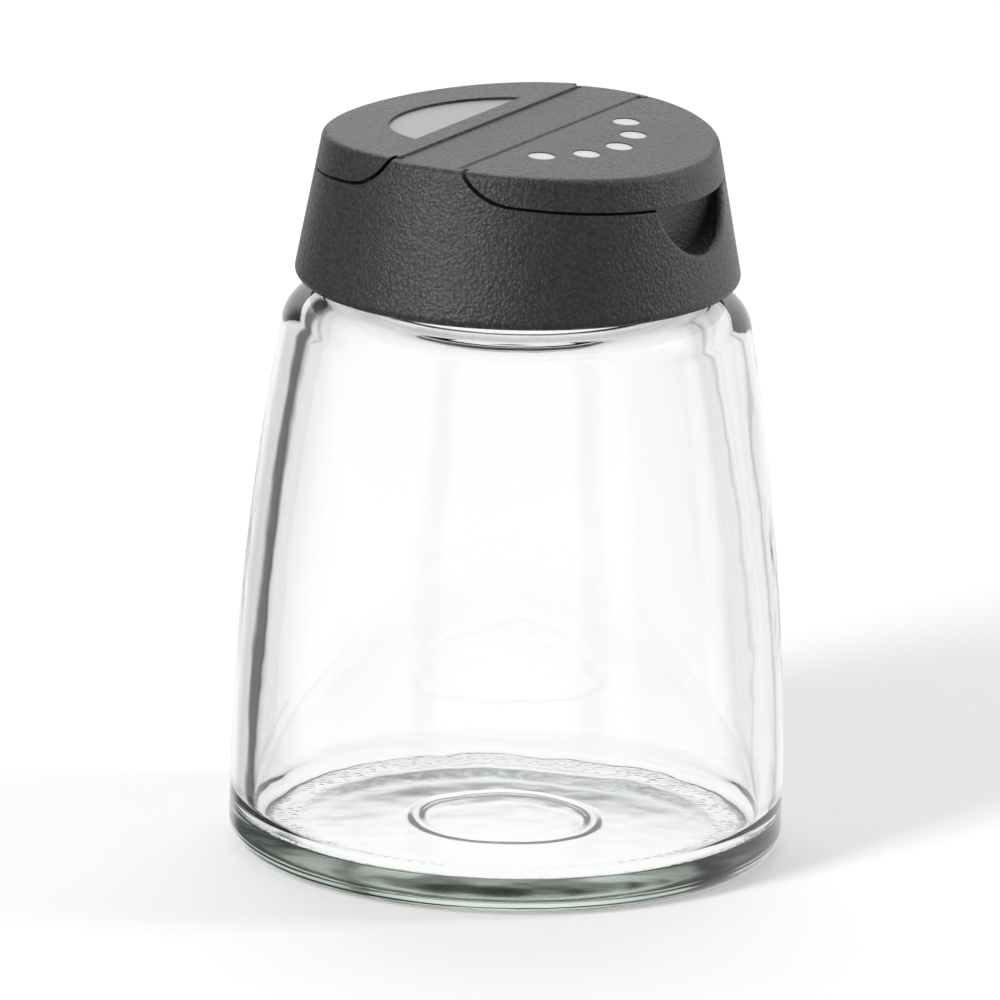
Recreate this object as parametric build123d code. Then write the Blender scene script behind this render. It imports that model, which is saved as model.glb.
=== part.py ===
from build123d import *
import os
from math import atan, cos, sqrt

# A table shaker for spice: a pressed glass jar and a screw cap with two snap flaps.
# Millimetres, +Z up, origin at the centre of the jar's base. The bridge between the flaps
# runs along Y; the sprinkling flap is on the +X side and the pouring flap on the -X side.

# ---------------------------------------------------------------- jar
JAR_R = 34.1                # widest radius, just above the heel
UPRIGHT_Z = 4.4             # height where the side wall stands upright
HEEL_ROUND = 3.2            # rounding between the bearing ring and the side
SHOULDER_Z = 69.7           # level top of the shoulder
SHOULDER_R = 28.1           # radius where the curved side would meet that level
SHOULDER_ROUND = 4.4
NECK_R = 19.4               # outside of the neck, under the thread
NECK_H = 13.0               # shoulder to rim
NECK_ROUND = 1.2
RIM_ROUND = 0.7
BORE_R = 16.6               # mouth of the jar
WALL_LOW = 2.95             # glass thickness just above the floor
WALL_HIGH = 4.1             # glass thickness of the side at the shoulder
CEILING_T = 2.5             # glass thickness of the shoulder's level part
CEILING_ROUND = 2.2         # rounding inside, wall to ceiling
FLOOR_T = 3.7               # glass thickness of the floor at its edge
FLOOR_CROWN = 0.7           # how far the middle of the floor stands up
CAVITY_ROUND = 3.0          # rounding inside, floor to wall
PUSH_UP = 1.2               # depth of the dome under the base
BEARING_R = 25.5            # inner edge of the flat bearing ring

# ---------------------------------------------------------------- cap, outside
CAP_CLEAR = 2.05            # gap between the shoulder and the cap's lower rim
CAP_LOW_R = 27.42           # radius of the lower rim
CAP_TOP_R = 24.02           # radius of the cone at the height of the crest
CAP_H = 18.75               # lower rim to the crest of the top
CROWN_R = 210.0             # the top is an arch of this radius with its axis along Y
TOP_EDGE_ROUND = 0.9
LOW_EDGE_ROUND = 0.9
CAP_WALL = 1.35

# ---------------------------------------------------------------- bridge, seam and hinges
HINGE_X = 4.2               # middle of each hinge groove
SPRINKLE_GROOVE_HALF = 0.42 # half width of a groove at the top
POUR_GROOVE_HALF = 0.25
FILM_HALF = 0.20            # half width of the film in a groove
FILM_T = 0.25
SPRINKLE_AXIS_DEPTH = 0.32  # hinge axis below the top surface
POUR_AXIS_DEPTH = 0.16
SEAM_START_X = 5.0          # the seam leaves the top here and sweeps down
SEAM_FOOT_X = 11.0          # and runs nearly level from here
SEAM_FOOT_DROP = 4.0        # its foot below the crest
SEAM_BOW = 0.8              # how far the sweep hollows away from its chord
SEAM_SLOPE = 0.115          # fall of the seam from its foot to the far edge
SPRINKLE_GAP = 0.32         # open joint between flap and cap
POUR_GAP = 0.34
POUR_PROUD = 0.25           # the pouring flap stands this much above the bridge
SIDE_CLEAR = 0.30           # hinged edge of a flap to the inside of the cap's wall
PLATE_T = 1.3               # thickness of a flap's top
FLAP_WALL = 1.35            # thickness of a flap's skirt

# ---------------------------------------------------------------- thumb notches
NOTCH_R = 7.65              # radius of the notch's round lower edge
NOTCH_DROP = 12.2           # crest to the lowest point of the notch
NOTCH_DEPTH = 2.55          # the notch's back wall lies this far inside the cone, at the deck's height
NOTCH_BACK_T = 1.1
NOTCH_EDGE = 0.72           # rounding of the notch's mouth

# ---------------------------------------------------------------- cap, inside
GASKET_T = 0.8
GASKET_MARGIN = 0.4         # gasket to the bore on one side and to the ring on the other
DECK_T = 1.2
UPSTAND_T = 0.8             # low rim inside the flaps' skirts
UPSTAND_RISE = 1.0          # and how far it stands above the seam
RING_CLEAR = 1.35           # neck to ring, where both threads lie
RING_T = 1.25
RING_LIFT = 1.3             # how much shorter the ring is than the skirt
RIB_COUNT = 12
RIB_T = 0.9
RIB_H = 5.0
BRIDGE_ROOF = 1.4
BRIDGE_WALL = 1.3

# ---------------------------------------------------------------- openings, windows, inserts
HOLE_R = 1.6                # sprinkling holes in the deck
HOLE_CIRCLE_R = 13.7
HOLE_COUNT = 5
HOLE_STEP = 25.0            # degrees from hole to hole
DOT_R = 1.7                 # round windows in the sprinkling flap
DOT_DISH = 0.12             # insert's faces below the flap's top
WINDOW_FLAT_X = 7.4         # straight side of the pouring window
WINDOW_ARC_R = 13.7
WINDOW_ARC_X = 2.8          # centre of the window's arc
WINDOW_DISH = 0.35
POUR_MARGIN = 1.1           # the pouring opening is this much smaller than the window
INSERT_T = 0.95             # flange of an insert under the flap's top
INSERT_LAP = 1.2            # flange beyond the windows
LIP_T = 1.0                 # wall of the pouring insert's sealing lip
LIP_CLEAR = 0.10            # lip and flap clear of the deck
PIN_R = 1.35
PIN_TIP_R = 0.5
PIN_TAPER_H = 1.4
PIN_REACH = 0.6             # pins enter the holes this far

# ---------------------------------------------------------------- sizes that follow
RIM_Z = SHOULDER_Z + NECK_H
DECK_LOW_Z = RIM_Z + GASKET_T
DECK_TOP_Z = DECK_LOW_Z + DECK_T
CAP_LOW_Z = SHOULDER_Z + CAP_CLEAR
CREST_Z = CAP_LOW_Z + CAP_H
CONE_SLOPE = (CAP_LOW_R - CAP_TOP_R) / CAP_H
RING_IN_R = NECK_R + RING_CLEAR
RING_OUT_R = RING_IN_R + RING_T
SPAN = 4 * CAP_LOW_R        # longer than anything it has to cut
OVER = CAP_WALL             # how far a cutting shape passes what it cuts
CONE_START = 60             # degrees round to where a cone's surface starts, clear of notches and windows


def side_r(z):
    """Outside radius of the jar: an arc that starts upright and leans in to the shoulder."""
    rise = SHOULDER_Z - UPRIGHT_Z
    lean = JAR_R - SHOULDER_R
    radius = (rise ** 2 + lean ** 2) / (2 * lean)
    return JAR_R - (radius - sqrt(radius ** 2 - (z - UPRIGHT_Z) ** 2))


def wall_at(z):
    """Glass thickness of the side at height z."""
    share = (z - FLOOR_T) / (SHOULDER_Z - FLOOR_T)
    return WALL_LOW + (WALL_HIGH - WALL_LOW) * share


def cone_r(z):
    """Outside radius of the cap's cone at height z."""
    return CAP_LOW_R - CONE_SLOPE * (z - CAP_LOW_Z)


def crown_z(x, raised=0.0):
    """Height of the arched top at a distance x from the middle."""
    return CREST_Z + raised - (CROWN_R - sqrt(CROWN_R ** 2 - x ** 2))


def hinge_z(side):
    """Height of the hinge axis on one side."""
    depth = SPRINKLE_AXIS_DEPTH if side > 0 else POUR_AXIS_DEPTH
    return crown_z(HINGE_X) - depth


NOTCH_FLOOR_X = cone_r(DECK_TOP_Z) - NOTCH_DEPTH


def prism(*edges):
    """A closed outline of (x, z) on the XZ plane, carried along Y both ways."""
    return extrude(Plane.XZ * make_face(edges), SPAN / 2, both=True)


def slab(outline, low, high):
    """A face on the XY plane, carried from one height to another."""
    return Pos(0, 0, low) * extrude(outline, high - low)


def single(shape, name):
    """The one solid that a rigid piece is made of."""
    solids = shape.solids()
    if len(solids) != 1:
        raise ValueError(f"{name} came out as {len(solids)} solids")
    solids[0].label = name
    return solids[0]


# ---------------------------------------------------------------- glass jar
def round_corner(face, r, z, radius):
    """Rounds the one corner of a lathe outline that lies at radius r and height z."""
    corner = face.vertices().sort_by_distance((r, 0, z))[0]
    return fillet(corner, radius)


def make_jar():
    """Glass jar: the outside and the cavity are lathe outlines with rounded corners."""
    middle = (UPRIGHT_Z + SHOULDER_Z) / 2
    outside = Plane.XZ * make_face([
        ThreePointArc((0, PUSH_UP), (BEARING_R / 2, PUSH_UP * 0.75), (BEARING_R, 0)),
        Polyline((BEARING_R, 0), (JAR_R, 0), (JAR_R, UPRIGHT_Z)),
        ThreePointArc((JAR_R, UPRIGHT_Z), (side_r(middle), middle), (SHOULDER_R, SHOULDER_Z)),
        Polyline((SHOULDER_R, SHOULDER_Z), (NECK_R, SHOULDER_Z), (NECK_R, RIM_Z), (0, RIM_Z), (0, PUSH_UP)),
    ])
    outside = round_corner(outside, JAR_R, 0, HEEL_ROUND)
    outside = round_corner(outside, SHOULDER_R, SHOULDER_Z, SHOULDER_ROUND)
    outside = round_corner(outside, NECK_R, SHOULDER_Z, NECK_ROUND)
    outside = round_corner(outside, NECK_R, RIM_Z, RIM_ROUND)

    crown = FLOOR_T + FLOOR_CROWN
    ceiling = SHOULDER_Z - CEILING_T
    low_r = side_r(FLOOR_T) - WALL_LOW
    mid_z = (FLOOR_T + ceiling) / 2
    high_r = side_r(ceiling) - wall_at(ceiling)
    cavity = Plane.XZ * make_face([
        ThreePointArc((0, crown), (low_r / 2, FLOOR_T + FLOOR_CROWN * 0.75), (low_r, FLOOR_T)),
        ThreePointArc((low_r, FLOOR_T), (side_r(mid_z) - wall_at(mid_z), mid_z), (high_r, ceiling)),
        Polyline((high_r, ceiling), (BORE_R, ceiling), (BORE_R, RIM_Z), (0, RIM_Z), (0, crown)),
    ])
    cavity = round_corner(cavity, low_r, FLOOR_T, CAVITY_ROUND)
    cavity = round_corner(cavity, high_r, ceiling, CEILING_ROUND)
    cavity = round_corner(cavity, BORE_R, ceiling, NECK_ROUND)
    jar = revolve(outside, Axis.Z) - revolve(cavity, Axis.Z)
    lip = jar.edges().filter_by(GeomType.CIRCLE).sort_by_distance((BORE_R, 0, RIM_Z))[0]
    return single(fillet(lip, RIM_ROUND), "glass_jar")


# ---------------------------------------------------------------- the cap's outer form
def cone(inset=0.0):
    """The cap's cone, made smaller all round by a wall measured square to its surface."""
    radial = inset / cos(atan(CONE_SLOPE))
    top_r = CAP_TOP_R - CONE_SLOPE * OVER - radial
    body = Cone(CAP_LOW_R - radial, top_r, CAP_H + OVER, align=(Align.CENTER, Align.CENTER, Align.MIN))
    return Pos(0, 0, CAP_LOW_Z) * Rot(0, 0, CONE_START) * body


def under_arch(raised=0.0):
    """Everything under the arched top, which may be raised or lowered."""
    half = CAP_LOW_R + OVER
    edge_z = crown_z(half, raised)
    return prism(
        ThreePointArc((-half, edge_z), (0, CREST_Z + raised), (half, edge_z)),
        Polyline((half, edge_z), (half, 0), (-half, 0), (-half, edge_z)))


def cap_form(raised=0.0):
    """Cone and arch together, with the top edge and the lower rim rounded."""
    form = cone() & under_arch(raised)
    top_edges = form.edges().filter_by(lambda e: e.center().Z > DECK_TOP_Z and e.geom_type != GeomType.LINE)
    form = fillet(top_edges, TOP_EDGE_ROUND)
    low_edge = form.edges().sort_by(Axis.Z)[0]
    return fillet(low_edge, LOW_EDGE_ROUND)


def above_seam(side, shift):
    """The space a flap takes: outside and above the seam, moved out and up by shift."""
    x0, x1 = SEAM_START_X, SEAM_FOOT_X
    z0, z1 = CREST_Z, CREST_Z - SEAM_FOOT_DROP
    chord = sqrt((x1 - x0) ** 2 + (z1 - z0) ** 2)
    xm = (x0 + x1) / 2 - SEAM_BOW * (z0 - z1) / chord
    zm = (z0 + z1) / 2 - SEAM_BOW * (x1 - x0) / chord
    far_x = SPAN / 2
    far_z = z1 - SEAM_SLOPE * (far_x - x1)
    sky = CREST_Z + CAP_H

    def at(x, z):
        return (side * (x + shift), z + shift)

    return prism(
        ThreePointArc(at(x0, z0), at(xm, zm), at(x1, z1)),
        Polyline(at(x1, z1), at(far_x, far_z), at(far_x, sky), at(x0, sky), at(x0, z0)))


def groove_flank(side, sign, raised=0.0):
    """One flank of a hinge groove from sky to film, as seen from its hinge: sign -1 is the bridge's."""
    half = SPRINKLE_GROOVE_HALF if side > 0 else POUR_GROOVE_HALF
    film_x = HINGE_X + sign * FILM_HALF
    top_x = HINGE_X + sign * half
    top_z = crown_z(top_x, raised)
    film_z = hinge_z(side) + FILM_T / 2
    over = 3.0              # times the flank's own height, so that it passes the top
    return [
        (film_x + over * (top_x - film_x), film_z + over * (top_z - film_z)),
        (film_x, film_z),
        (film_x, film_z - FILM_T),
        (top_x, film_z - FILM_T - (top_z - film_z)),
    ]


# ---------------------------------------------------------------- cap shell
def bridge_side(side):
    """The bridge's outline on one side, from above its groove down to the deck."""
    flank = groove_flank(side, -1)
    return [(side * x, z) for x, z in flank + [(flank[-1][0], DECK_LOW_Z)]]


def make_bridge():
    """The bar between the flaps, hollow from below, with a lip along each hinge."""
    outline = bridge_side(1) + bridge_side(-1)[::-1]
    bar = prism(Polyline(*outline, close=True)) & under_arch() & cone(CAP_WALL / 2)
    core_x = HINGE_X - SPRINKLE_GROOVE_HALF - BRIDGE_WALL
    core = Box(2 * core_x, 2 * (BORE_R - BRIDGE_WALL), 2 * CAP_H)
    core = Pos(0, 0, CREST_Z - BRIDGE_ROOF - CAP_H) * core
    return bar, core


def notch_outline(margin=0.0):
    """A thumb notch seen from its side: round below, open above."""
    radius = NOTCH_R + margin
    centre = CREST_Z - NOTCH_DROP + NOTCH_R
    outline = Circle(radius) + Pos(0, radius) * Rectangle(2 * radius, 2 * radius)
    return Plane.YZ * (Pos(0, centre) * outline)


def notch_space(side, margin, floor_x):
    """The space behind a notch's outline, from floor_x outwards on one side."""
    space = Pos(floor_x, 0, 0) * extrude(notch_outline(margin), CAP_LOW_R)
    return space if side > 0 else mirror(space, Plane.YZ)


def make_ribs():
    """Short webs between the threaded ring and the skirt."""
    rib = Pos(RING_OUT_R - RING_T / 2, 0, DECK_LOW_Z - RIB_H) * Box(
        CAP_LOW_R, RIB_T, RIB_H, align=(Align.MIN, Align.CENTER, Align.MIN))
    step = 360 / RIB_COUNT
    return [Rot(0, 0, step * (i + 0.5)) * rib for i in range(RIB_COUNT)]


def on_notch_mouth(edge):
    """Whether an edge is where a notch's wall meets the cone's outside."""
    middle = edge.position_at(0.5)
    on_cone = abs(sqrt(middle.X ** 2 + middle.Y ** 2) - cone_r(middle.Z)) < 0.01
    curved = edge.geom_type not in (GeomType.LINE, GeomType.CIRCLE)
    return on_cone and curved and abs(middle.Y) < NOTCH_R - 0.01


def make_skirt_block():
    """The cap's outside below the seam, still solid, with both thumb notches and their round mouths."""
    block = cap_form() - above_seam(1, -SPRINKLE_GAP / 2) - above_seam(-1, -POUR_GAP / 2)
    for side in (1, -1):
        block -= notch_space(side, 0, NOTCH_FLOOR_X)
    mouth = [edge for edge in block.edges() if on_notch_mouth(edge)]
    return fillet(mouth, NOTCH_EDGE)


def make_upstand():
    """The low rim inside the flaps' skirts and behind the notches, a little higher than the seam."""
    outer = cone(FLAP_WALL + SIDE_CLEAR)
    rim = outer - cone(FLAP_WALL + SIDE_CLEAR + UPSTAND_T)
    for side in (1, -1):
        rim -= notch_space(side, 0, NOTCH_FLOOR_X)
        back = notch_space(side, NOTCH_BACK_T, NOTCH_FLOOR_X - NOTCH_BACK_T) & outer
        rim += back - notch_space(side, NOTCH_R, NOTCH_FLOOR_X)
    rim &= slab(Circle(CAP_LOW_R), DECK_LOW_Z + DECK_T / 2, CREST_Z)
    rim &= under_arch(-PLATE_T - SIDE_CLEAR - POUR_GAP)
    return rim - above_seam(1, UPSTAND_RISE) - above_seam(-1, UPSTAND_RISE)


def make_cap(pour_opening, holes):
    shell = cone() - cone(CAP_WALL)
    inner = cone(CAP_WALL / 2)
    deck = slab(Circle(CAP_LOW_R), DECK_LOW_Z, DECK_TOP_Z) & inner
    ring = slab(Circle(RING_OUT_R) - Circle(RING_IN_R), CAP_LOW_Z + RING_LIFT, DECK_LOW_Z + DECK_T / 2)
    backs = [notch_space(side, NOTCH_BACK_T, NOTCH_FLOOR_X - NOTCH_BACK_T) & inner for side in (1, -1)]
    cap = make_skirt_block() & (shell + [deck, ring] + make_ribs() + backs)
    bar, core = make_bridge()
    cap += make_upstand()
    cap += bar
    cap -= core
    for cut in [pour_opening] + holes:
        cap -= slab(cut, DECK_LOW_Z - DECK_T, DECK_TOP_Z + DECK_T)
    return single(cap, "cap_shell")


# ---------------------------------------------------------------- flaps
def make_flap(name, side, gap, raised, windows):
    """A flap: arched plate and skirt down to the seam, with its windows cut through."""
    skirted = cap_form(raised) & above_seam(side, gap / 2)
    flank = groove_flank(side, 1, raised)
    far_x = CAP_LOW_R
    edge = flank + [(flank[-1][0], DECK_TOP_Z), (far_x, DECK_TOP_Z), (far_x, flank[0][1])]
    plate = prism(Polyline(*[(side * x, z) for x, z in edge], close=True))
    plate &= cone(CAP_WALL + SIDE_CLEAR) & under_arch(raised)
    flap = skirted + plate
    flap -= cone(FLAP_WALL) & under_arch(raised - PLATE_T)
    for window in windows:
        flap -= slab(window, DECK_TOP_Z, CREST_Z + CAP_H)
    return single(flap, name)


def make_film(name, side):
    """The thin web in a hinge groove, as long as the flap's hinged edge."""
    film = Pos(side * HINGE_X, 0, hinge_z(side)) * Box(2 * FILM_HALF, SPAN, FILM_T)
    return single(film & cone(CAP_WALL + SIDE_CLEAR), name)


# ---------------------------------------------------------------- windows, openings and inserts
def window_outline(margin=0.0):
    """The pouring window: a circle with one side cut off straight, made larger by a margin."""
    radius = WINDOW_ARC_R + margin
    flat_x = WINDOW_FLAT_X - margin
    disc = Pos(-WINDOW_ARC_X, 0) * Circle(radius)
    keep = Pos(-flat_x - radius, 0) * Rectangle(2 * radius, 4 * radius)
    return disc & keep


def hole_angles():
    return [HOLE_STEP * (i - (HOLE_COUNT - 1) / 2) for i in range(HOLE_COUNT)]


def round_windows(radius):
    """Discs on the sprinkling circle."""
    return [Rot(0, 0, angle) * Pos(HOLE_CIRCLE_R, 0) * Circle(radius) for angle in hole_angles()]


def under_plate(raised, depth=0.0):
    """The space inside a flap, lowered by depth."""
    return cone(FLAP_WALL) & under_arch(raised - PLATE_T - depth)


def make_sprinkle_insert():
    """Five plugs that show in the windows, an arc-shaped flange, and a taper pin for each hole."""
    half_w = DOT_R + INSERT_LAP
    first, last = hole_angles()[0], hole_angles()[-1]
    band = SlotArc(CenterArc((0, 0), HOLE_CIRCLE_R, first, last - first), 2 * half_w)
    flange = slab(band, DECK_TOP_Z, CREST_Z) & under_plate(0)
    flange -= under_plate(0, INSERT_T)
    insert = flange
    tip_z = DECK_TOP_Z - PIN_REACH
    shank_z = tip_z + PIN_TAPER_H
    shown = under_arch(-DOT_DISH)
    for dot in round_windows(DOT_R):
        insert += (slab(dot, DECK_TOP_Z, CREST_Z) & shown) - under_plate(0, INSERT_T / 2)
    for angle in hole_angles():
        place = Rot(0, 0, angle) * Pos(HOLE_CIRCLE_R, 0, tip_z)
        taper = place * Cone(PIN_TIP_R, PIN_R, PIN_TAPER_H, align=(Align.CENTER, Align.CENTER, Align.MIN))
        insert += taper
    for pin in round_windows(PIN_R):
        insert += slab(pin, shank_z, CREST_Z) & under_plate(0, INSERT_T / 2)
    return single(insert, "sprinkle_insert")


def make_pour_insert():
    """A plug that shows in the window, its flange, and a lip that closes round the opening."""
    shown = under_arch(POUR_PROUD - WINDOW_DISH)
    plug = slab(window_outline(), DECK_TOP_Z, CREST_Z + POUR_PROUD) & shown
    plug -= under_plate(POUR_PROUD, INSERT_T / 2)
    flange = slab(window_outline(INSERT_LAP), DECK_TOP_Z, CREST_Z) & under_plate(POUR_PROUD)
    flange -= under_plate(POUR_PROUD, INSERT_T)
    lip_out = window_outline(LIP_T - POUR_MARGIN / 2)
    lip = slab(lip_out - window_outline(-POUR_MARGIN / 2), DECK_TOP_Z + LIP_CLEAR, CREST_Z)
    lip &= under_plate(POUR_PROUD, INSERT_T / 2)
    return single(plug + flange + lip, "pour_insert")


def make_gasket():
    """Flat ring between the jar's rim and the cap's deck."""
    outline = Circle(RING_IN_R - GASKET_MARGIN) - Circle(BORE_R + GASKET_MARGIN)
    return single(slab(outline, RIM_Z, DECK_LOW_Z), "rim_gasket")


# ---------------------------------------------------------------- the whole shaker
def make_all():
    dots = round_windows(DOT_R)
    holes = round_windows(HOLE_R)
    return [
        make_jar(),
        make_gasket(),
        make_cap(window_outline(-POUR_MARGIN), holes),
        make_flap("sprinkle_flap", 1, SPRINKLE_GAP, 0.0, dots),
        make_flap("pour_flap", -1, POUR_GAP, POUR_PROUD, [window_outline()]),
        make_sprinkle_insert(),
        make_pour_insert(),
        make_film("sprinkle_hinge_film", 1),
        make_film("pour_hinge_film", -1),
    ]


os.makedirs("parts", exist_ok=True)
for piece in make_all():
    export_step(piece, f"parts/{piece.label}.step")
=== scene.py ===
import math

import bpy
import numpy as np
from bpy.props import FloatProperty, FloatVectorProperty, PointerProperty
from bpy.types import Operator, Panel, PropertyGroup
from mathutils import Matrix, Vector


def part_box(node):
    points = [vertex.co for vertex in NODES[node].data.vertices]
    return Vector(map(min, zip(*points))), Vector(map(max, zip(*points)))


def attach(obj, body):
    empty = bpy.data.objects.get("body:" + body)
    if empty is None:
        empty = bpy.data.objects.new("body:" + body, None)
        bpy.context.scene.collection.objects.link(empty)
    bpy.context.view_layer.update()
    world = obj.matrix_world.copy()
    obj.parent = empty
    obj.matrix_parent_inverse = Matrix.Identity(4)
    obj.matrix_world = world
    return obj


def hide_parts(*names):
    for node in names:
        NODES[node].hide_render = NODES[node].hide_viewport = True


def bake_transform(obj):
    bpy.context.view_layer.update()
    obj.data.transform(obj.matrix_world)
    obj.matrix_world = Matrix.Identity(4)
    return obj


bl_info = {
    "name": "Glass Spice Shaker",
    "version": (1, 0, 0),
    "blender": (4, 5, 0),
    "location": "3D View > Sidebar > Shaker",
    "description": "Dresses a glass spice shaker with a two-flap screw cap and sets it in a white studio",
    "category": "Object",
}

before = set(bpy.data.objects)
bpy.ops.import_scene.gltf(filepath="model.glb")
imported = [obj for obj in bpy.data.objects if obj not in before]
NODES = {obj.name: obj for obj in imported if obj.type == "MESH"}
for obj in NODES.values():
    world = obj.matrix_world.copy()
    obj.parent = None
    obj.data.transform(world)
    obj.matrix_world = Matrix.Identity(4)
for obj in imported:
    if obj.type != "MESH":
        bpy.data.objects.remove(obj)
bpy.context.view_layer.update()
MM = 0.001


# ---------------------------------------------------------------- sizes and colours
def length(name, millimetres, description):
    return FloatProperty(name=name, default=millimetres * MM, min=0.0, precision=5, unit="LENGTH",
                         description=description)


def number(name, value, description, top=1.0):
    return FloatProperty(name=name, default=value, min=0.0, max=top, description=description)


def degrees(name, value, description):
    return FloatProperty(name=name, default=math.radians(value), subtype="ANGLE", description=description)


def watts(name, value, description):
    return FloatProperty(name=name, default=value, min=0.0, unit="POWER", description=description)


def colour(name, value, description):
    return FloatVectorProperty(name=name, default=value, size=3, min=0.0, max=1.0, subtype="COLOR",
                               description=description)


class ShakerJar(PropertyGroup):
    """Sizes of the pressed glass jar."""
    radius: length("Radius", 34.1, "Widest radius, just above the heel")
    upright: length("Upright height", 4.4, "Height where the side stands upright")
    heel: length("Heel rounding", 3.2, "Rounding between the bearing ring and the side")
    shoulder_z: length("Shoulder height", 69.7, "Level top of the shoulder")
    shoulder_r: length("Shoulder radius", 28.1, "Radius where the side would meet the shoulder's level")
    shoulder_round: length("Shoulder rounding", 4.4, "Rounding of the shoulder, side to level")
    neck_r: length("Neck radius", 19.4, "Outside of the neck under its thread")
    neck_h: length("Neck height", 13.0, "Shoulder to rim")
    neck_round: length("Neck rounding", 1.2, "Rounding at the foot of the neck")
    rim_round: length("Rim rounding", 0.7, "Rounding of the rim")
    bore_r: length("Bore radius", 16.6, "Mouth of the jar")
    wall_low: length("Low wall", 2.95, "Glass thickness above the floor")
    wall_high: length("High wall", 4.1, "Glass thickness of the side at the shoulder")
    ceiling_t: length("Ceiling", 2.5, "Glass thickness of the shoulder's level part")
    ceiling_round: length("Ceiling rounding", 2.2, "Rounding inside, wall to ceiling")
    floor: length("Floor", 3.7, "Glass thickness of the floor at its edge")
    floor_crown: length("Floor crown", 0.7, "How far the middle of the floor stands up")
    cavity_round: length("Cavity rounding", 3.0, "Rounding inside, floor to wall")
    push_up: length("Push-up", 1.2, "Depth of the dome under the base")
    bearing_r: length("Bearing radius", 25.5, "Inner edge of the flat bearing ring")
    wave: length("Waviness", 0.10, "Unevenness of the inside of the wall")
    side_wave: length("Side waviness", 0.035, "Unevenness of the outside of the wall")
    floor_wave: length("Floor waviness", 0.09, "Unevenness of the floor at the bore's radius and beyond")
    ring_r: length("Base ring radius", 11.0, "Radius of the plain ring raised on the underside")
    ring_w: length("Base ring width", 2.2, "Width of that ring at its root")
    ring_h: length("Base ring height", 0.28, "How far that ring stands out")
    thread_drop: length("Thread drop", 8.7, "Rim down to the start of the threads")
    thread_height: length("Thread height", 0.9, "How far the thread stands out of the neck")
    thread_width: length("Thread width", 1.5, "Width of the thread at its root")
    thread_turns: number("Thread turns", 1.75, "Turns of the neck's thread", 3.0)


class ShakerCap(PropertyGroup):
    """Sizes of what the cap carries beside its moulded shapes."""
    pitch: length("Pitch", 3.6, "Rise of the screw thread in one turn")
    ring_r: length("Ring radius", 20.75, "Inside of the threaded ring")
    thread_height: length("Thread height", 0.75, "How far the thread stands into the ring")
    thread_width: length("Thread width", 1.15, "Width of the thread at its root")
    thread_turns: number("Thread turns", 1.25, "Turns of the cap's thread", 2.0)


class ShakerFinish(PropertyGroup):
    """Colours and grain of the materials."""
    cap: colour("Cap", (0.024, 0.0242, 0.0226), "Charcoal of the cap and flaps")
    white: colour("Round windows", (0.80, 0.80, 0.79), "White of the sprinkling insert")
    grey: colour("Pouring window", (0.41, 0.41, 0.395), "Pale grey of the pouring insert")
    gasket: colour("Gasket", (0.74, 0.73, 0.70), "Foam of the rim gasket")
    glass_absorb: colour("Glass tint", (0.36, 0.62, 0.40), "Colour that thick glass lets through")
    glass_density: number("Glass density", 8.5, "Absorption for each metre of glass", 100.0)
    frost: number("Frost", 0.18, "Roughness of the bearing ring, where the glass met the belt")
    dome_frost: number("Dome frost", 0.12, "Roughness of the dome inside the bearing ring")
    grain: length("Grain", 0.34, "Size of the cap's spark texture")
    grain_depth: length("Grain depth", 0.2, "Depth of the cap's spark texture")


class ShakerStudio(PropertyGroup):
    """Light and camera."""
    azimuth: degrees("Azimuth", 29.275, "Camera's turn round the shaker")
    elevation: degrees("Elevation", 15.155, "Camera's height above the horizon")
    roll: degrees("Roll", 1.283, "Camera's tilt")
    distance: length("Distance", 2000, "Camera to its aim")
    lens: number("Lens", 587.27, "Focal length in millimetres", 1000.0)
    aside: length("Aside", 1.5544, "How far the camera aims to the left of the axis")
    height: length("Aim height", 43.38, "Height at which the camera and the lamps aim")
    world: number("World light", 0.215, "Strength of the surrounding light", 3.0)
    backdrop: number("Backdrop", 1.07, "Strength of the white behind the glass", 3.0)
    key: watts("Key light", 16.0, "Tall light at the front left")
    side: watts("Side light", 5.5, "Tall light at the right")
    top: watts("Top light", 5.3, "Light above and behind")
    floor: number("Floor", 0.86, "Brightness of the floor")
    lift: number("Floor lift", 0.28, "White added to the floor where it is seen")


# ---------------------------------------------------------------- meshes from grids
def mesh_object(name, points, quads, tris=None):
    """A smooth mesh from an array of points and arrays of corner numbers."""
    tris = np.empty((0, 3), np.int32) if tris is None else tris
    mesh = bpy.data.meshes.new(name)
    mesh.vertices.add(len(points))
    mesh.vertices.foreach_set("co", np.asarray(points, np.float32).ravel())
    corners = np.concatenate([quads.ravel(), tris.ravel()]).astype(np.int32)
    starts = np.concatenate([np.arange(len(quads)) * 4, len(quads) * 4 + np.arange(len(tris)) * 3])
    mesh.loops.add(len(corners))
    mesh.loops.foreach_set("vertex_index", corners)
    mesh.polygons.add(len(starts))
    mesh.polygons.foreach_set("loop_start", starts.astype(np.int32))
    mesh.polygons.foreach_set("use_smooth", np.ones(len(starts), bool))
    mesh.update(calc_edges=True)
    mesh.validate()
    obj = bpy.data.objects.new(name, mesh)
    bpy.context.scene.collection.objects.link(obj)
    return obj


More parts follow.
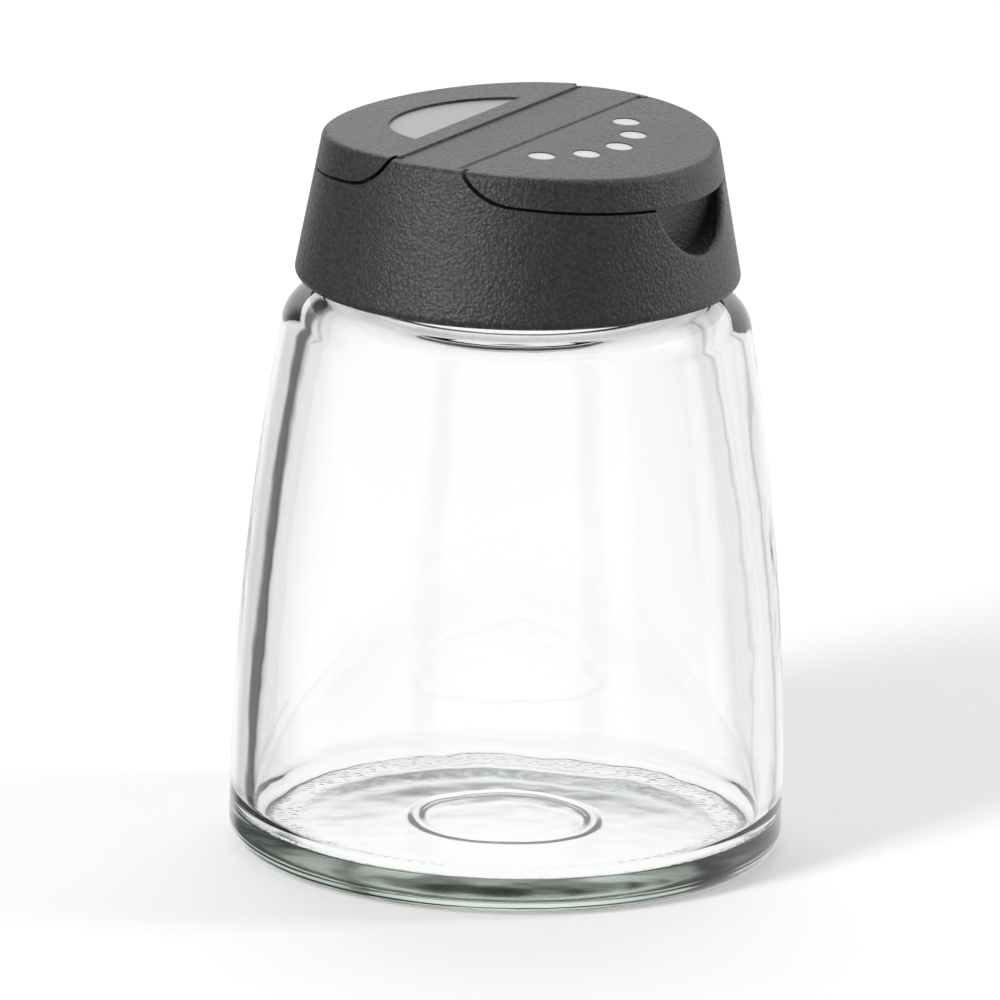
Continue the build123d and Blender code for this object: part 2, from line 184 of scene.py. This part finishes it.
def lathe_object(name, radius, height):
    """A closed body of revolution, from rows of radius and height for each angle, the first and last row on
    the axis: x = radius times cosine of the angle, y = radius times its sine, z = height."""
    rows, cols = radius.shape
    angle = np.arange(cols) * (2 * np.pi / cols)
    points = np.stack([radius * np.cos(angle), radius * np.sin(angle), height], axis=-1)
    body = points[1:-1].reshape(-1, 3)
    poles = np.array([[0, 0, height[0].mean()], [0, 0, height[-1].mean()]])
    i, j = np.meshgrid(np.arange(rows - 3), np.arange(cols), indexing="ij")
    k = (j + 1) % cols
    quads = np.stack([i * cols + j, i * cols + k, (i + 1) * cols + k, (i + 1) * cols + j], axis=-1)
    j, k = np.arange(cols), (np.arange(cols) + 1) % cols
    low, high = len(body), len(body) + 1
    last = (rows - 3) * cols
    tris = np.concatenate([
        np.stack([np.full(cols, low), k, j], axis=-1),
        np.stack([np.full(cols, high), last + j, last + k], axis=-1)])
    return mesh_object(name, np.concatenate([body, poles]), quads.reshape(-1, 4), tris)


def tube_object(name, sections):
    """A closed skin through sections, an array (stations, corners, 3), with flat ends."""
    stations, corners, _ = sections.shape
    i, j = np.meshgrid(np.arange(stations - 1), np.arange(corners), indexing="ij")
    k = (j + 1) % corners
    this, following = i * corners, (i + 1) * corners
    quads = np.stack([this + j, this + k, following + k, following + j], axis=-1)
    ends = [sections[:1].mean(axis=1), sections[-1:].mean(axis=1)]
    points = np.concatenate([sections.reshape(-1, 3), *ends])
    j, k = np.arange(corners), (np.arange(corners) + 1) % corners
    first, last = stations * corners, (stations - 1) * corners
    tris = np.concatenate([
        np.stack([np.full(corners, first), k, j], axis=-1),
        np.stack([np.full(corners, first + 1), last + j, last + k], axis=-1)])
    return mesh_object(name, points, quads.reshape(-1, 4), tris)


# ---------------------------------------------------------------- outlines
def line(start, end, count):
    """Points evenly from start to end."""
    t = np.linspace(0, 1, count)[:, None]
    return np.asarray(start) * (1 - t) + np.asarray(end) * t


def arc(centre, radius, first, last, count):
    """Points on a circle: centre plus radius times cosine and sine of an angle from first to last."""
    a = np.linspace(first, last, count)
    return np.asarray(centre) + radius * np.stack([np.cos(a), np.sin(a)], axis=-1)


def arc_between(centre, start, end, count):
    """The short arc about a centre from one point to another."""
    centre, start, end = map(np.asarray, (centre, start, end))
    a = math.atan2(*(start - centre)[::-1])
    b = math.atan2(*(end - centre)[::-1])
    turn = (b - a + math.pi) % (2 * math.pi) - math.pi
    return arc(centre, np.linalg.norm(start - centre), a, a + turn, count)


def circle_through(a, b, c):
    """Centre and radius of the circle through three points, where the perpendicular bisectors meet."""
    a, b, c = map(np.asarray, (a, b, c))
    rows = 2 * np.array([b - a, c - a])
    centre = np.linalg.solve(rows, [b @ b - a @ a, c @ c - a @ a])
    return centre, np.linalg.norm(a - centre)


def meeting(c1, r1, c2, r2, near):
    """The crossing of two circles that lies nearer to a point."""
    c1, c2 = np.asarray(c1), np.asarray(c2)
    gap = np.linalg.norm(c2 - c1)
    along = (r1 ** 2 - r2 ** 2 + gap ** 2) / (2 * gap)
    across = math.sqrt(r1 ** 2 - along ** 2)
    u = (c2 - c1) / gap
    v = np.array([-u[1], u[0]])
    found = [c1 + along * u + across * v, c1 + along * u - across * v]
    return min(found, key=lambda p: np.linalg.norm(p - np.asarray(near)))


def jar_outline(s):
    """The jar's closed outline as runs of (radius, height): under the base, up the outside, over the rim and
    down the inside to the floor. Rounded corners are arcs that touch both neighbours."""
    tall, lean = s.shoulder_z - s.upright, s.radius - s.shoulder_r
    big = (tall ** 2 + lean ** 2) / (2 * lean)
    side_c = np.array([s.radius - big, s.upright])

    def outside(z):
        return side_c[0] + math.sqrt(big ** 2 - (z - s.upright) ** 2)

    def wall(z):
        return s.wall_low + (s.wall_high - s.wall_low) * (z - s.floor) / (s.shoulder_z - s.floor)

    dome_c, _ = circle_through((-s.bearing_r, 0), (0, s.push_up), (s.bearing_r, 0))
    heel_c = (s.radius - s.heel, s.heel)
    cz = s.shoulder_z - s.shoulder_round
    shoulder_c = np.array([side_c[0] + math.sqrt((big - s.shoulder_round) ** 2 - (cz - s.upright) ** 2), cz])
    shoulder_start = side_c + (shoulder_c - side_c) * big / (big - s.shoulder_round)
    rim_z = s.shoulder_z + s.neck_h
    foot_c = (s.neck_r + s.neck_round, s.shoulder_z + s.neck_round)
    ceiling = s.shoulder_z - s.ceiling_t
    low_r = outside(s.floor) - s.wall_low
    high_r = outside(ceiling) - wall(ceiling)
    mid = (s.floor + ceiling) / 2
    in_c, in_r = circle_through((low_r, s.floor), (outside(mid) - wall(mid), mid), (high_r, ceiling))
    floor_c, floor_r = circle_through((-low_r, s.floor), (0, s.floor + s.floor_crown), (low_r, s.floor))
    top_z = ceiling - s.ceiling_round
    top_c = np.array([in_c[0] + math.sqrt((in_r - s.ceiling_round) ** 2 - (top_z - in_c[1]) ** 2), top_z])
    top_start = in_c + (top_c - in_c) * in_r / (in_r - s.ceiling_round)
    low_c = meeting(in_c, in_r - s.cavity_round, floor_c, floor_r + s.cavity_round, (low_r, s.floor))
    low_end = in_c + (low_c - in_c) * in_r / (in_r - s.cavity_round)
    low_start = floor_c + (low_c - floor_c) * floor_r / (floor_r + s.cavity_round)
    half, whole = math.pi / 2, math.pi
    return {
        "dome": arc_between(dome_c, (0, s.push_up), (s.bearing_r, 0), 72),
        "bearing": line((s.bearing_r, 0), (heel_c[0], 0), 8),
        "heel": arc(heel_c, s.heel, -half, 0, 14),
        "side": np.concatenate([
            line((s.radius, s.heel), (s.radius, s.upright), 4)[:-1],
            arc_between(side_c, (s.radius, s.upright), shoulder_start, 44)]),
        "shoulder": np.concatenate([
            arc_between(shoulder_c, shoulder_start, (shoulder_c[0], s.shoulder_z), 18)[:-1],
            line((shoulder_c[0], s.shoulder_z), (foot_c[0], s.shoulder_z), 8)]),
        "neck": np.concatenate([
            arc(foot_c, s.neck_round, -half, -whole, 8)[:-1],
            line((s.neck_r, foot_c[1]), (s.neck_r, rim_z - s.rim_round), 46)]),
        "rim": np.concatenate([
            arc((s.neck_r - s.rim_round, rim_z - s.rim_round), s.rim_round, 0, half, 7)[:-1],
            line((s.neck_r - s.rim_round, rim_z), (s.bore_r + s.rim_round, rim_z), 4)[:-1],
            arc((s.bore_r + s.rim_round, rim_z - s.rim_round), s.rim_round, half, whole, 7)]),
        "bore": np.concatenate([
            line((s.bore_r, rim_z - s.rim_round), (s.bore_r, ceiling + s.neck_round), 14)[:-1],
            arc((s.bore_r + s.neck_round, ceiling + s.neck_round), s.neck_round, whole, whole + half, 7)]),
        "ceiling": np.concatenate([
            line((s.bore_r + s.neck_round, ceiling), (top_c[0], ceiling), 7)[:-1],
            arc_between(top_c, (top_c[0], ceiling), top_start, 16)]),
        "inside": arc_between(in_c, top_start, low_end, 52),
        "hollow": arc_between(low_c, low_end, low_start, 16),
        "floor": arc_between(floor_c, low_start, (0, s.floor + s.floor_crown), 26),
    }


def thread_start(jar):
    """Height where both threads start."""
    return jar.shoulder_z + jar.neck_h - jar.thread_drop


def rise(distance, run):
    """0 at a distance of nothing and 1 from the run on, in a straight line between."""
    return np.clip(distance / run, 0, 1)


def ridge(height, centre, width):
    """A thread's or ring's section: 1 on its crest and 0 outside its width, its flanks a smooth step."""
    t = rise(width / 2 - np.abs(height - centre), width * 0.32)
    return t * t * (3 - 2 * t)


def helix_ridge(angle, height, start, pitch, turns, width):
    """Height of a helical thread over its cylinder, from 0 to 1: the highest of the ridges whose centre rises
    by the pitch in each turn, faded in and out over a tenth of a turn at its ends."""
    best = np.zeros_like(height)
    for whole in range(int(turns) + 1):
        turn = angle / (2 * np.pi) + whole
        fade = rise(turn, 0.1) * rise(turns - turn, 0.1)
        best = np.maximum(best, ridge(height, start + pitch * turn, width) * fade)
    return best


def swell(angle, height, seed):
    """Smooth unevenness of about -1 to 1: a sum of sines, each of a whole number of waves round the jar that
    also lean with the height."""
    rng = np.random.default_rng(seed)
    total = np.zeros(np.broadcast(angle, height).shape)
    for round_count, up in [(1, 40), (2, 70), (3, 55), (4, 110), (5, 35), (7, 160), (9, 90), (13, 140)]:
        total += rng.uniform(0.4, 1) / round_count ** 0.5 * np.sin(
            round_count * angle + height * up + rng.uniform(0, 2 * np.pi))
    return total / 3


def jar_surface(s, pitch):
    """The jar's skin, as a radius and a height for each point of its outline and each angle. The outline is
    pushed along its normal: out by the thread on the neck and the ring under the base, and in and out by the
    unevenness of pressed glass on the side, the inside and the floor."""
    runs = jar_outline(s)
    joined = {name: run[:-1] for name, run in runs.items()} | {"floor": runs["floor"]}
    outline = np.concatenate(list(joined.values()))
    owner = np.repeat(list(joined), [len(run) for run in joined.values()])
    along = np.gradient(outline, axis=0)
    along /= np.maximum(np.linalg.norm(along, axis=1, keepdims=True), 1e-12)
    out_r, out_z = along[:, 1:], -along[:, :1]
    r0, z0 = outline[:, :1], outline[:, 1:]
    cols = 256
    angle = np.arange(cols)[None, :] * (2 * np.pi / cols)
    push = np.zeros((len(outline), cols))
    neck = owner == "neck"
    push[neck] = s.thread_height * helix_ridge(
        angle, z0[neck] + 0 * angle, thread_start(s), pitch, s.thread_turns, s.thread_width)
    dome = owner == "dome"
    push[dome] = s.ring_h * ridge(r0[dome], s.ring_r, s.ring_w)
    inner = np.isin(owner, ("inside", "hollow", "ceiling"))
    share = rise(z0[inner] - s.floor, 6 * MM) * rise(s.shoulder_z - z0[inner], 4 * MM)
    push[inner] = s.wave * share * swell(angle, z0[inner], 4)
    side = owner == "side"
    share = rise(z0[side] - s.heel, 4 * MM) * rise(s.shoulder_z - z0[side], 9 * MM)
    push[side] = -s.side_wave * share * (1 + swell(angle, z0[side], 9))
    floor = owner == "floor"
    push[floor] = s.floor_wave * rise(r0[floor], s.bore_r) ** 2 * swell(angle, r0[floor] * 3, 12)
    return r0 + out_r * push, z0 + out_z * push


# ---------------------------------------------------------------- materials
class Value:
    """A socket whose sums and products add Math nodes to its tree."""

    def __init__(self, tree, socket):
        self.tree, self.socket = tree, socket

    def math(self, operation, *others):
        return self.tree.node("ShaderNodeMath", {"operation": operation}, dict(enumerate((self,) + others)))

    def __add__(self, other):
        return self.math("ADD", other)

    def __radd__(self, other):
        return self.math("ADD", other)

    def __sub__(self, other):
        return self.math("SUBTRACT", other)

    def __rsub__(self, other):
        return self.tree.node("ShaderNodeMath", {"operation": "SUBTRACT"}, {0: other, 1: self})

    def __mul__(self, other):
        return self.math("MULTIPLY", other)

    def __rmul__(self, other):
        return self.math("MULTIPLY", other)

    def __truediv__(self, other):
        return self.math("DIVIDE", other)

    def clamp(self):
        return self.tree.node("ShaderNodeClamp", {}, {"Value": self})

    def step(self, low, high):
        """0 below low and 1 above high, with a smooth rise between them."""
        return self.tree.node("ShaderNodeMapRange", {"interpolation_type": "SMOOTHSTEP"},
                              {"Value": self, "From Min": low, "From Max": high})

    def band(self, first, full, last, gone):
        """0 up to first, 1 from full to last, and 0 again from gone, with smooth slopes."""
        return self.step(first, full) * (1 - self.step(last, gone))


class Tree:
    """The node tree of a material or of the world."""

    def __init__(self, owner, output):
        owner.use_nodes = True
        self.nodes, self.links = owner.node_tree.nodes, owner.node_tree.links
        self.nodes.clear()
        self.output = self.nodes.new(output)

    def node(self, kind, settings=None, inputs=None, output=0):
        """Adds a node, sets it, fills or links its sockets, named or numbered, and gives one output."""
        made = self.nodes.new(kind)
        for key, value in (settings or {}).items():
            setattr(made, key, value)
        for key, value in (inputs or {}).items():
            self.fill(made.inputs[key], value)
        return Value(self, made.outputs[output])

    def fill(self, socket, value):
        """Links a socket to a value, or sets it to a number or a colour."""
        if isinstance(value, Value):
            self.links.new(value.socket, socket)
        elif hasattr(value, "__len__") and len(value) == 3 and socket.type == "RGBA":
            socket.default_value = (*value, 1.0)
        else:
            socket.default_value = value

    def place(self):
        """Each point's place on its object, in metres."""
        return self.node("ShaderNodeTexCoord", output="Object")

    def parts(self, vector):
        """The three coordinates of a vector."""
        made = self.nodes.new("ShaderNodeSeparateXYZ")
        self.fill(made.inputs[0], vector)
        return [Value(self, o) for o in made.outputs]

    def noise(self, vector, size, detail=2.0, rough=0.5):
        """Soft noise from 0 to 1 with patches of a size."""
        return self.node("ShaderNodeTexNoise", {}, {
            "Vector": vector, "Scale": 1 / size, "Detail": detail, "Roughness": rough}, "Fac")

    def cells(self, vector, size):
        """Distance to the nearest of scattered points, in shares of a cell."""
        return self.node("ShaderNodeTexVoronoi", {}, {"Vector": vector, "Scale": 1 / size}, "Distance")

    def mix(self, share, first, second):
        """Colours blended by a share of the second."""
        return self.node("ShaderNodeMix", {"data_type": "RGBA"}, {0: share, 6: first, 7: second}, 2)

    def bump(self, height, depth, strength=1.0, normal=None):
        """A normal tilted by a relief whose height goes from 0 to 1 over a depth."""
        inputs = {"Height": height, "Distance": depth, "Strength": strength}
        if normal is not None:
            inputs["Normal"] = normal
        return self.node("ShaderNodeBump", {}, inputs, "Normal")


def shaded(colour_value, share):
    """A colour made lighter or darker by a share."""
    return tuple(min(1.0, c * share) for c in colour_value)


def new_material(name):
    """An empty material's tree, which keeps the material as its own."""
    material = bpy.data.materials.new(name)
    tree = Tree(material, "ShaderNodeOutputMaterial")
    tree.material = material
    return tree


def glass_material(s, jar):
    """Clear pressed glass, coloured by absorption in its depth. Its underside is frosted, most on the bearing
    ring, which has stipple dots too, and all of it has the mould's faint ripple."""
    tree = new_material("jar_glass")
    here = tree.place()
    x, y, z = tree.parts(here)
    radius = (x * x + y * y).math("SQRT")
    edge = jar.radius - jar.heel
    inside = 1 - radius.step(edge - 0.6 * MM, edge + 0.1 * MM)
    under = inside * (1 - z.step(jar.push_up + 0.1 * MM, jar.push_up + 1.0 * MM))
    lowest = 1 - z.step(0.6 * MM, 1.2 * MM)
    ring = inside * radius.step(jar.bearing_r - 0.6 * MM, jar.bearing_r + 0.2 * MM) * lowest
    dome = 1 - radius.step(jar.bearing_r - 2.0 * MM, jar.bearing_r)
    dots = (1 - tree.cells(here, 1.05 * MM) * 2.2).clamp()
    ripple = tree.noise(here, 6.0 * MM, 1.0)
    height = ring * dots * 0.7 + ripple * (under * 0.6 + 0.28)
    shader = tree.node("ShaderNodeBsdfPrincipled", {}, {
        "Base Color": (1, 1, 1),
        "Roughness": under * (dome * (s.dome_frost - s.frost) + s.frost),
        "IOR": 1.52, "Transmission Weight": 1.0,
        "Normal": tree.bump(height, 0.16 * MM, 0.75)})
    depth = tree.node("ShaderNodeVolumeAbsorption", {}, {"Color": s.glass_absorb, "Density": s.glass_density})
    tree.fill(tree.output.inputs["Surface"], shader)
    tree.fill(tree.output.inputs["Volume"], depth)
    return tree.material


def plastic_material(name, base, s, rough=0.38, grain=1.0):
    """Moulded charcoal plastic with a fine spark texture, smoother on its highest grains, which are painted
    paler as highlight while its lowest are painted darker as shade, with a random cloud of tone besides.
    """
    tree = new_material(name)
    here = tree.place()
    fine = tree.noise(here, s.grain, 3.0, 0.62)
    pebble = (1 - tree.cells(here, s.grain * 1.45)).clamp()
    cloud = tree.noise(here, 7 * MM, 2.0)
    height = fine * 0.62 + pebble * 0.38
    # tone: painted highlight on the highest grains and painted shade in the lowest, plus a random cloud of
    # tone
    tone = (height - 0.51) * 3.6 + (cloud - 0.5) * 0.4 + 0.5
    soft_edge = tree.node("ShaderNodeBevel", {"samples": 4}, {"Radius": 0.18 * MM})
    # base colour blends a darker and a paler copy of the charcoal by tone: painted shade and painted
    # highlight on the grains
    shader = tree.node("ShaderNodeBsdfPrincipled", {}, {
        "Base Color": tree.mix(tone.clamp(), shaded(base, 0.55), shaded(base, 1.5)),
        "Roughness": rough + (cloud - 0.5) * 0.08 - (height - 0.5) * 0.4,
        "IOR": 1.49,
        "Normal": tree.bump(height, s.grain_depth, grain, soft_edge)})
    tree.fill(tree.output.inputs["Surface"], shader)
    return tree.material


def insert_material(name, base, rough):
    """Satin translucent plastic with faint flow marks and fine scuffs."""
    tree = new_material(name)
    here = tree.place()
    drawn = tree.node("ShaderNodeVectorMath", {"operation": "MULTIPLY"}, {0: here, 1: (1.0, 0.18, 1.0)})
    flow = tree.noise(drawn, 1.6 * MM, 3.0)
    fine = tree.noise(here, 0.12 * MM, 2.0)
    shader = tree.node("ShaderNodeBsdfPrincipled", {}, {
        "Base Color": tree.mix(flow, shaded(base, 0.94), shaded(base, 1.05)),
        "Roughness": rough + (flow - 0.5) * 0.12,
        "IOR": 1.49,
        "Subsurface Weight": 0.15, "Subsurface Scale": 0.8 * MM,
        "Normal": tree.bump(fine * 0.4 + flow * 0.6, 0.012 * MM, 0.6)})
    tree.fill(tree.output.inputs["Surface"], shader)
    return tree.material


def foam_material(name, base):
    """Closed-cell foam with small pores, painted darker inside as shade."""
    tree = new_material(name)
    here = tree.place()
    pores = tree.cells(here, 0.35 * MM).step(0.1, 0.45)
    # the pores' colour is a darker copy of the foam: painted shade in the pores
    shader = tree.node("ShaderNodeBsdfPrincipled", {}, {
        "Base Color": tree.mix(pores, shaded(base, 0.8), base),
        "Roughness": 0.78, "Normal": tree.bump(pores, 0.05 * MM, 0.6)})
    tree.fill(tree.output.inputs["Surface"], shader)
    return tree.material


def paint(node, material):
    """Gives a CAD node its material in every slot."""
    for slot in NODES[node].material_slots:
        slot.material = material


# ---------------------------------------------------------------- operators
class SHAKER_OT_glass_jar(Operator):
    """Make the pressed glass jar with its thread and give it its glass"""
    bl_idname = "shaker.glass_jar"
    bl_label = "Glass jar"

    def execute(self, context):
        s = context.scene.shaker_jar
        jar = lathe_object("glass_jar_wall", *jar_surface(s, context.scene.shaker_cap.pitch))
        jar.data.materials.append(glass_material(context.scene.shaker_finish, s))
        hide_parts("glass_jar")
        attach(jar, "jar")
        return {"FINISHED"}


class SHAKER_OT_cap(Operator):
    """Give the cap shell and both flaps their charcoal spark texture"""
    bl_idname = "shaker.cap"
    bl_label = "Cap and flaps"

    def execute(self, context):
        s = context.scene.shaker_finish
        plastic = plastic_material("cap_plastic", s.cap, s)
        for node in ("cap_shell", "sprinkle_flap", "pour_flap"):
            paint(node, plastic)
        return {"FINISHED"}


class SHAKER_OT_cap_thread(Operator):
    """Make the screw thread inside the cap's ring: a rounded section, given in shares of the thread's height
    and width, follows a helix that rises by the pitch in each turn and fades in and out at its ends"""
    bl_idname = "shaker.cap_thread"
    bl_label = "Cap thread"

    def execute(self, context):
        s, jar = context.scene.shaker_cap, context.scene.shaker_jar
        turn = np.linspace(0, s.thread_turns, 220)
        angle = 2 * np.pi * turn
        fade = np.clip(np.minimum(turn, s.thread_turns - turn) / 0.08, 0.04, 1)
        section = np.array([(0.15, -0.5), (-0.35, -0.42), (-0.85, -0.24), (-1.0, -0.12), (-1.0, 0.12),
                            (-0.85, 0.24), (-0.35, 0.42), (0.15, 0.5)])
        inward = np.where(section[:, 0] < 0, section[None, :, 0] * fade[:, None], section[None, :, 0] * 0.5)
        radius = s.ring_r + s.thread_height * inward
        height = thread_start(jar) + s.pitch * (turn[:, None] + 0.5) + s.thread_width * section[None, :, 1]
        points = np.stack([radius * np.cos(angle)[:, None], radius * np.sin(angle)[:, None], height], axis=-1)
        thread = tube_object("cap_thread", points)
        thread.data.materials.append(bpy.data.materials["cap_plastic"])
        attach(thread, "cap")
        return {"FINISHED"}


class SHAKER_OT_hinges(Operator):
    """Make the two living hinges between the bridge and the flaps: across the web its faces dip by
    a half sine wave, deeper on top"""
    bl_idname = "shaker.hinges"
    bl_label = "Living hinges"

    def execute(self, context):
        s = context.scene.shaker_finish
        web = plastic_material("hinge_plastic", shaded(s.cap, 1.05), s, 0.42, 0.25)
        for node, lid in (("sprinkle_hinge_film", "sprinkle_lid"), ("pour_hinge_film", "pour_lid")):
            low, high = (np.array(c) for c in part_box(node))
            across = np.linspace(0, 1, 15)
            x = low[0] + (high[0] - low[0]) * across
            along = np.linspace(low[1], high[1], 41)[:, None]
            dip = 0.22 * (high[2] - low[2]) * np.sin(np.pi * across)
            over = np.concatenate([x, x[::-1]])[None, :]
            up = np.concatenate([high[2] - dip, (low[2] + dip * 0.3)[::-1]])[None, :]
            points = np.stack([over + 0 * along, along + 0 * over, up + 0 * along], axis=-1)
            piece = tube_object(node.replace("_film", "_web"), points)
            piece.data.materials.append(web)
            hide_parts(node)
            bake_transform(piece)
        return {"FINISHED"}


class SHAKER_OT_inserts(Operator):
    """Give the two inserts and the gasket their finishes"""
    bl_idname = "shaker.inserts"
    bl_label = "Inserts and gasket"

    def execute(self, context):
        s = context.scene.shaker_finish
        paint("sprinkle_insert", insert_material("insert_white", s.white, 0.38))
        paint("pour_insert", insert_material("insert_grey", s.grey, 0.34))
        paint("rim_gasket", foam_material("gasket", s.gasket))
        return {"FINISHED"}


class SHAKER_OT_stage(Operator):
    """Set the white floor, the soft lights, the surroundings and the camera"""
    bl_idname = "shaker.stage"
    bl_label = "Studio"

    def execute(self, context):
        s = context.scene.shaker_studio
        context.scene.view_settings.view_transform = "Standard"
        self.floor(s)
        self.world(context.scene, s)
        self.lights(context.scene, s)
        self.camera(context.scene, s)
        return {"FINISHED"}

    def rays(self, tree):
        """1 or 0 for rays straight from the camera, off gloss, and through glass."""
        path = tree.nodes.new("ShaderNodeLightPath")
        names = ("Is Camera Ray", "Is Glossy Ray", "Is Transmission Ray")
        return [Value(tree, path.outputs[name]) for name in names]

    def floor(self, s):
        """A level disc: the angle and the radius are its two parameters."""
        rim = np.arange(96) * (2 * np.pi / 96)
        circle = np.stack([3 * np.cos(rim), 3 * np.sin(rim), 0 * rim], axis=-1)
        points = np.concatenate([[[0, 0, 0]], circle])
        j = np.arange(96)
        fans = np.stack([np.zeros(96, int), 1 + j, 1 + (j + 1) % 96], axis=-1)
        floor = mesh_object("floor", points, np.empty((0, 4), np.int32), fans)
        tree = new_material("white_table")
        tone = s.floor + tree.noise(tree.place(), 90 * MM, 2.0) * 0.02
        matte = tree.node("ShaderNodeBsdfDiffuse", {}, {"Color": tree.node(
            "ShaderNodeCombineColor", {}, {0: tone, 1: tone, 2: tone})})
        lift = tree.node("ShaderNodeEmission", {}, {
            "Color": (1, 1, 1), "Strength": sum(self.rays(tree)).clamp() * s.lift})
        tree.fill(tree.output.inputs["Surface"], tree.node("ShaderNodeAddShader", {}, {0: matte, 1: lift}))
        floor.data.materials.append(tree.material)
        floor.visible_transmission = floor.visible_glossy = False

    def world(self, scene, s):
        """White for the camera, and for gloss and glass white with darker parts for them to show. An upright
        band is given by the four turns of its slopes, in degrees to the right of straight behind the shaker,
        and by how dark it is. Above the horizon lie a fainter gloom with two open stretches of sky, and a
        dark corner at the right: mostly the thick base shows them."""
        world = bpy.data.worlds.new("studio")
        scene.world = world
        tree = Tree(world, "ShaderNodeOutputWorld")
        way = tree.node("ShaderNodeTexCoord", output="Generated")
        x, y, z = tree.parts(way)
        flat = (x * x + y * y).math("SQRT").math("MAXIMUM", 1e-4)
        ahead = (x * -math.sin(s.azimuth) + y * math.cos(s.azimuth)) / flat
        right = (x * math.cos(s.azimuth) + y * math.sin(s.azimuth)) / flat
        turn = right.math("ARCTAN2", ahead) * (180 / math.pi)
        bands = (
            (-150, -144, -138, -132, 0.5), (132, 138, 144, 150, 0.5),
            (-72, -60, -28, -5, 0.22), (-49, -42, -36, -30, 0.7),
            (4, 24, 25, 29, 0.32), (20.5, 21.5, 24, 25, 0.25), (25, 29, 68, 72, 0.13))
        upright = sum(turn.band(*slopes) * depth for *slopes, depth in bands) * z.step(-0.75, -0.45)
        open_sky = (turn.band(-26, -14, 14, 26) + turn.band(58, 64, 74, 80)).clamp()
        gloom = z.band(-0.02, 0.08, 0.55, 0.8) * (1 - open_sky) * 0.35
        corner = turn.band(79, 84, 118, 126) * z.step(-0.3, -0.02)
        camera, glossy, through = self.rays(tree)
        mirror = glossy * (1 - through)
        behind = ahead.step(-0.35, 0.45)
        seen_through = through * s.backdrop * (1 - (upright + gloom + corner).clamp())
        seen_on = mirror * (1 - turn.band(-90, -76, -34, -20) * 0.75) * (behind * 0.6 + 0.4)
        fill = (1 - (mirror + camera + through).clamp()) * s.world
        tree.fill(tree.output.inputs["Surface"], tree.node("ShaderNodeBackground", {}, {
            "Color": (1, 1, 1), "Strength": seen_through + seen_on + camera + fill}))

    def lights(self, scene, s):
        """Two tall soft lights, at the front left and the right, and one above and behind. Each is given by
        its turn from the camera's side, its distance, its height, its width and length, and its power. The
        lamps leave the clear jar out, so that it mirrors the white room and not the lamps."""
        left_out = bpy.data.collections.new("left_out_by_lamps")
        left_out.objects.link(bpy.data.objects["glass_jar_wall"])
        left_out.collection_objects[0].light_linking.link_state = "EXCLUDE"
        for name, turn, distance, height, size, power in (
                ("key", -43, 1.25, 0.62, (0.3, 1.1), s.key),
                ("side", 98, 1.2, 0.6, (0.3, 1.0), s.side),
                ("top", 180, 0.75, 1.0, (1.1, 0.9), s.top)):
            data = bpy.data.lights.new(name, "AREA")
            data.shape, data.size, data.size_y, data.energy = "RECTANGLE", *size, power
            lamp = bpy.data.objects.new(name, data)
            scene.collection.objects.link(lamp)
            round_z = s.azimuth + math.radians(turn)
            lamp.location = (distance * math.sin(round_z), -distance * math.cos(round_z), height)
            lamp.rotation_euler = (math.atan2(distance, height - s.height), 0, round_z)
            lamp.light_linking.receiver_collection = left_out

    def camera(self, scene, s):
        """Looks back along the direction given by azimuth and elevation, rolled about it."""
        cosine, sine = math.cos(s.azimuth), math.sin(s.azimuth)
        level = math.cos(s.elevation)
        back = np.array([sine * level, -cosine * level, math.sin(s.elevation)])
        right = np.array([cosine, sine, 0])
        up = np.cross(back, right)
        across = right * math.cos(s.roll) + up * math.sin(s.roll)
        upward = up * math.cos(s.roll) - right * math.sin(s.roll)
        data = bpy.data.cameras.new("view")
        data.lens, data.sensor_width = s.lens, 36.0
        data.clip_start, data.clip_end = 0.05, 20
        camera = bpy.data.objects.new("view", data)
        scene.collection.objects.link(camera)
        matrix = np.eye(4)
        matrix[:3, 0], matrix[:3, 1], matrix[:3, 2] = across, upward, back
        matrix[:3, 3] = np.array([0, 0, s.height]) - right * s.aside + back * s.distance
        camera.matrix_world = Matrix(matrix.tolist())
        scene.camera = camera


class SHAKER_PT_panel(Panel):
    """The shaker's pieces and sizes in the sidebar"""
    bl_idname = "SHAKER_PT_panel"
    bl_label = "Spice shaker"
    bl_space_type = "VIEW_3D"
    bl_region_type = "UI"
    bl_category = "Shaker"

    def draw(self, context):
        for operator in OPERATORS:
            self.layout.operator(operator.bl_idname)
        for name in SETTINGS:
            box = self.layout.box()
            group = getattr(context.scene, name)
            for key in group.__annotations__:
                box.prop(group, key)


OPERATORS = (SHAKER_OT_glass_jar, SHAKER_OT_cap, SHAKER_OT_cap_thread, SHAKER_OT_hinges, SHAKER_OT_inserts,
             SHAKER_OT_stage)
SETTINGS = {"shaker_jar": ShakerJar, "shaker_cap": ShakerCap, "shaker_finish": ShakerFinish,
            "shaker_studio": ShakerStudio}


def register():
    for cls in (*SETTINGS.values(), *OPERATORS, SHAKER_PT_panel):
        bpy.utils.register_class(cls)
    for name, cls in SETTINGS.items():
        setattr(bpy.types.Scene, name, PointerProperty(type=cls))


def unregister():
    for name in SETTINGS:
        delattr(bpy.types.Scene, name)
    for cls in (SHAKER_PT_panel, *reversed(OPERATORS), *reversed(SETTINGS.values())):
        bpy.utils.unregister_class(cls)


def main():
    """Makes every piece, then the studio."""
    register()
    for operator in OPERATORS:
        group, name = operator.bl_idname.split(".")
        getattr(getattr(bpy.ops, group), name)()


if __name__ == "__main__":
    main()
